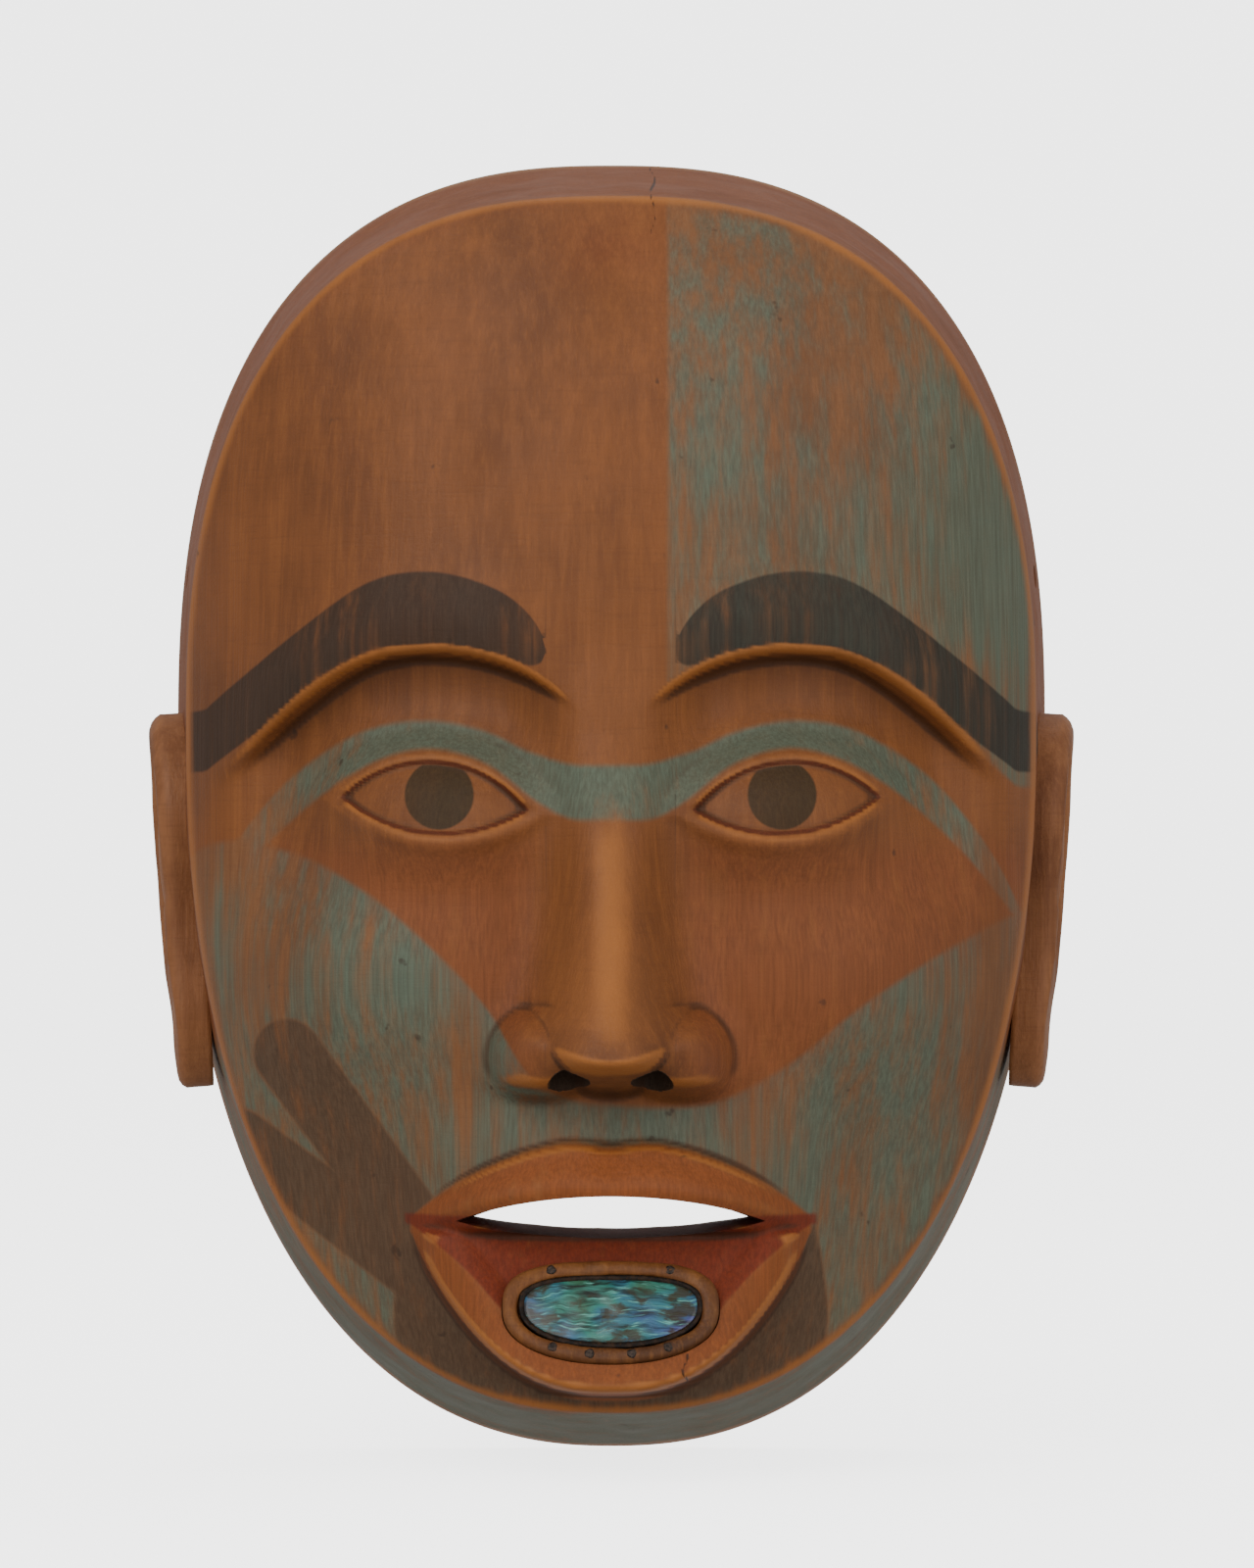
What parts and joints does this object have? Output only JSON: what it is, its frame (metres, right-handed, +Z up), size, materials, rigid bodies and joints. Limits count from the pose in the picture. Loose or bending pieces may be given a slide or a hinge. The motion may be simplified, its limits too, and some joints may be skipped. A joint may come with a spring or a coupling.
{
  "type": "carved wooden face mask",
  "caption": "Carved wooden face mask with separate ears, an open mouth and a shell-inlaid oval labret in the lower lip.",
  "frame": {"origin": "the point of the back rim's plane midway between crown and chin, on the mask's middle", "axes": "+Z up through the crown; +Y out of the hollow back towards the wearer or wall, so the face looks along -Y; +X to the viewer's right"},
  "size_m": [0.1782, 0.1119, 0.248],
  "materials": {
    "painted_wood": "hand-rubbed oil over wood with worn matte mineral paint",
    "ear_wood": "hand-rubbed, stained red-brown",
    "dowel_wood": "bare whittled wood",
    "labret_wood": "polished by handling, dark with pitch",
    "abalone_shell": "polished iridescent shell",
    "spruce_pitch": "hardened black pitch, satin",
    "iron_pins": "dark rusted iron"
  },
  "bodies": {
    "root": {"mask_shell": "painted_wood", "ear_left": "ear_wood", "ear_right": "ear_wood", "ear_dowels_left": "dowel_wood", "ear_dowels_right": "dowel_wood", "labret_plug": "labret_wood", "labret_inlay": "abalone_shell", "labret_pitch": "spruce_pitch", "labret_pins": "iron_pins"}
  },
  "joints": []
}
